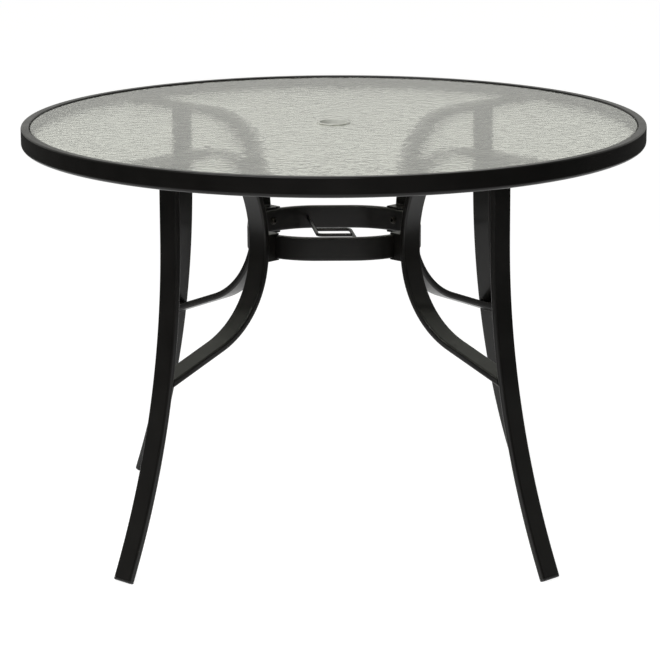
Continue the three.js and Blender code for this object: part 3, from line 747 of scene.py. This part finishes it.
def bolt(grip):
    """A bolt along Z: it bears at zero, its head is above and its shank goes down."""
    profile = [
        (3.0, 4.1), (4.0, 3.95), (4.8, 3.4), (5.25, 2.5), (5.4, 1.5), (5.9, 1.15), (6.8, 1.0),
        (7.0, 0.8), (7.0, 0.2), (6.8, 0.0), (3.0, 0.0), (3.0, -grip - 0.7), (2.3, -grip - 1.5),
    ]
    bm = bmesh.new()
    verts = [bm.verts.new((x, 0, z)) for x, z in profile]
    edges = [bm.edges.new(pair) for pair in zip(verts, verts[1:])]
    full_spin(bm, verts + edges, 24)
    tip = [e for e in bm.edges if e.is_boundary and e.verts[0].co.z < 0]
    bmesh.ops.contextual_create(bm, geom=tip)
    mouth = [e for e in bm.edges if e.is_boundary]
    known = set(bm.edges)
    above = Matrix.Translation((0, 0, SOCKET_TOP))
    bmesh.ops.create_circle(bm, cap_ends=False, radius=SOCKET_RADIUS, segments=6, matrix=above)
    six = [e for e in bm.edges if e not in known]
    bmesh.ops.subdivide_edges(bm, edges=six, cuts=3, use_grid_fill=False)
    hexagon = [e for e in bm.edges if e.is_wire]
    bmesh.ops.bridge_loops(bm, edges=mouth + hexagon)
    floor = bmesh.ops.extrude_edge_only(bm, edges=hexagon)["geom"]
    verts = [part for part in floor if isinstance(part, bmesh.types.BMVert)]
    bmesh.ops.translate(bm, vec=(0, 0, -SOCKET_DEPTH), verts=verts)
    bmesh.ops.contextual_create(bm, geom=[e for e in bm.edges if e.is_boundary])
    return bm


def hoop_bolt():
    lying = turned_about(bolt(HOOP_BOLT_GRIP), -90, "Y")
    return moved(lying, x=HOOP_CORNER - TUBE_DEPTH - GAP, z=HOOP_MIDDLE)


def rim_bolt(radius):
    return moved(turned_about(bolt(RIM_BOLT_GRIP), 180, "X"), x=radius, z=CHANNEL_FLOOR)


at_each_corner(hoop_bolt, "button_bolt", black_zinc, "hoop_bolt")
for row, radius in (("outer", OUTER_BOLT), ("inner", INNER_BOLT)):
    make, name = (lambda: rim_bolt(radius)), f"button_bolt_{row}"
    at_each_corner(make, name, black_zinc, f"rim_bolt_{row}")
for name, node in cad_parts.items():
    if "_nut_" in name:
        node.data.materials.clear()
        node.data.materials.append(black_zinc)

# %% [markdown]
# ## The beads at each joint
# Each leg is welded to its arm along two sides, and so is the lower end of each brace to its leg.
# Each saddle has a bead along its upper and its lower edge, where it lies on the brace.

# %% Weld beads
TUBE_BEAD, SADDLE_BEAD = 14.5, 17.0  # half lengths
BEAD_RADIUS, FINE_BEAD_RADIUS = 1.9, 1.7
OFF_FACE, OFF_SIDE = 0.5, 0.4  # how far a bead's middle line stands off the leg


def across(point, half_width, radius=BEAD_RADIUS):
    """A bead across the frame's plane, at a point of that plane."""
    x, _, z = point
    return weld_bead((x, -half_width, z), (x, half_width, z), radius)


def corner_beads():
    along = Vector((math.cos(low_heading), 0, math.sin(low_heading)))
    off = Vector((-along.z, 0, along.x)) * TUBE_DEPTH / 2
    off -= along * (off.dot(into_leg) / along.dot(into_leg))
    beads = [across(joint + side * off - OFF_FACE * into_leg, TUBE_BEAD) for side in (1, -1)]
    beside = TUBE_DEPTH / 2 + OFF_SIDE
    for side in (1, -1):
        beads.append(across((LEG_RADIUS + side * beside, 0, LEG_TOP - GAP), TUBE_BEAD))
    for side in (-1, 1):
        z = HOOP_MIDDLE + side * (SADDLE_TOP + GAP)
        beads.append(across((brace_face(z) - GAP, 0, z), SADDLE_BEAD, FINE_BEAD_RADIUS))
    return joined(*beads)


at_each_corner(corner_beads, "weld_beads", powder_coat)

# %% [markdown]
# ## Camera
# The picture was taken from about 5.5 m away with a long lens, so the table hardly gets smaller
# towards the back. The camera stands 1.6 m high, looks 13 degrees down and is turned very slightly
# about its own axis. Its angles, distance and height were fitted to the outline of the table in the
# picture.

# %% Camera
TO_THE_LEFT, TURN, DOWN, TILT = (math.radians(angle) for angle in (0.406, 0.326, 13.066, -0.24))
AWAY, HIGH = 5.427, 1.604
camera = bpy.data.objects.new("camera", bpy.data.cameras.new("camera"))
scene.collection.objects.link(camera)
camera.location = (-AWAY * math.sin(TO_THE_LEFT), -AWAY * math.cos(TO_THE_LEFT), HIGH)
aim = Matrix.Rotation(-TURN, 3, "Z") @ Matrix.Rotation(math.pi / 2 - DOWN, 3, "X")
camera.rotation_euler = (aim @ Matrix.Rotation(TILT, 3, "Z")).to_euler()
camera.data.lens = 175.0
camera.data.sensor_width = 36
camera.data.clip_end = 200
scene.camera = camera
print("camera at", [round(c, 3) for c in camera.location])

# %% [markdown]
# ## Background, floor and lamps
# The picture has a pure white background, yet its black tubes stay black. So the world is white
# where the camera looks, through the glass too, and as a lamp and in reflections it is a room that
# is light behind the table and dark in front. The floor is mostly white light of its own to the
# camera, so it stays white, and the rest of it is paint, which keeps the table's soft shadow. That
# paint is a painted pool of light: lighter near the table and darker further out, both in the light
# it throws up and in what it shows in reflections. Near the table the floor also glows white in
# reflections, a painted reflection: that is the light under the rear braces and on the rim's lower
# edge.

# %% World and floor
world = bpy.data.worlds.new("white studio")
scene.world = world
world.use_nodes = True
tree = world.node_tree
tree.nodes.clear()


def seen_directly(tree):
    """1 where the camera looks, through glass too, and 0 for light and reflections."""
    path = add(tree, "ShaderNodeLightPath")
    looks = {0: path.outputs["Is Camera Ray"], 1: path.outputs["Is Transmission Ray"]}
    return add(tree, "ShaderNodeMath", looks, operation="MAXIMUM").outputs[0]


way = add(tree, "ShaderNodeTexCoord").outputs["Generated"]
depth = add(tree, "ShaderNodeSeparateXYZ", {"Vector": way}).outputs["Y"]
from_to = {"From Min": -0.2, "From Max": 0.8, "To Min": 0.12, "To Max": 0.58}
room = add(tree, "ShaderNodeMapRange", {"Value": depth, **from_to})
backdrop = {"Color": linear("#fdfdf8"), "Strength": room.outputs["Result"]}
studio = add(tree, "ShaderNodeBackground", backdrop)
white = add(tree, "ShaderNodeBackground", {"Color": (1, 1, 1, 1), "Strength": 1.0})
seen = seen_directly(tree)
mixed = add(tree, "ShaderNodeMixShader", {0: seen, 1: studio.outputs[0], 2: white.outputs[0]})
add(tree, "ShaderNodeOutputWorld", {"Surface": mixed.outputs[0]})

floor_finish = bpy.data.materials.new("white studio floor")
floor_finish.use_nodes = True
tree = floor_finish.node_tree
tree.nodes.clear()
place = add(tree, "ShaderNodeTexCoord").outputs["Object"]
oval = add(tree, "ShaderNodeMapping", {"Vector": place, "Scale": (1.0, 0.6, 1.0)})
far = add(tree, "ShaderNodeVectorMath", {0: oval.outputs["Vector"]}, operation="LENGTH")
from_to = {"From Min": 1.2, "From Max": 1.9, "To Min": 1, "To Max": 0}
near = add(tree, "ShaderNodeMapRange", {"Value": far.outputs["Value"], **from_to}).outputs["Result"]
# Painted reflection: near the table the floor glows white to reflected rays.
glossy = add(tree, "ShaderNodeLightPath").outputs["Is Glossy Ray"]
shine = add(tree, "ShaderNodeMath", {0: glossy, 1: near}, operation="MULTIPLY").outputs[0]
looks = {0: seen_directly(tree), 1: shine}
seen = add(tree, "ShaderNodeMath", looks, operation="MAXIMUM").outputs[0]
# Painted pool of light: the floor's paint is 0.8 near the table and 0.2 further out.
painted_bounce_pool = add(tree, "ShaderNodeMapRange", {"Value": near, "To Min": 0.2, "To Max": 0.8})
paint = add(tree, "ShaderNodeBsdfDiffuse", {"Color": painted_bounce_pool.outputs["Result"]})
thin_paint = add(tree, "ShaderNodeBsdfDiffuse", {"Color": (0.36, 0.36, 0.36, 1)})
glow = add(tree, "ShaderNodeEmission", {"Color": (1, 1, 1, 1), "Strength": 0.9})
lit = add(tree, "ShaderNodeAddShader", {0: thin_paint.outputs[0], 1: glow.outputs[0]})
mixed = add(tree, "ShaderNodeMixShader", {0: seen, 1: paint.outputs[0], 2: lit.outputs[0]})
add(tree, "ShaderNodeOutputMaterial", {"Surface": mixed.outputs[0]})

bm = bmesh.new()
bmesh.ops.create_grid(bm, x_segments=1, y_segments=1, size=40)
mesh = bpy.data.meshes.new("studio_floor")
bm.to_mesh(mesh)
bm.free()
mesh.materials.append(floor_finish)
floor = bpy.data.objects.new("studio_floor", mesh)
scene.collection.objects.link(floor)

# %% [markdown]
# Two soft boxes light the table. The large one overhead lights the lip of the rim, and a dim one
# high in front gives the round corners of the tubes a faint line.

# %% Lamps
def soft_box(name, place, aim, width, height, power):
    """A rectangular lamp that the camera doesn't see."""
    data = bpy.data.lights.new(name, "AREA")
    data.shape, data.size, data.size_y, data.energy = "RECTANGLE", width, height, power
    lamp = bpy.data.objects.new(name, data)
    scene.collection.objects.link(lamp)
    lamp.location = place
    lamp.rotation_euler = (Vector(aim) - Vector(place)).to_track_quat("-Z", "Y").to_euler()
    lamp.visible_camera = False
    return lamp


soft_box("overhead box", (-1.2, -1.6, 3.2), (0, 0, 0.5), 2.2, 2.2, 55)
soft_box("front box", (0, -5.2, 3.6), (0, 0, 0.5), 1.6, 2.4, 28)
scene.view_settings.view_transform = "Standard"

# %% [markdown]
# ## Last step
# The view layer is updated once more.

# %% Update the view layer
bpy.context.view_layer.update()
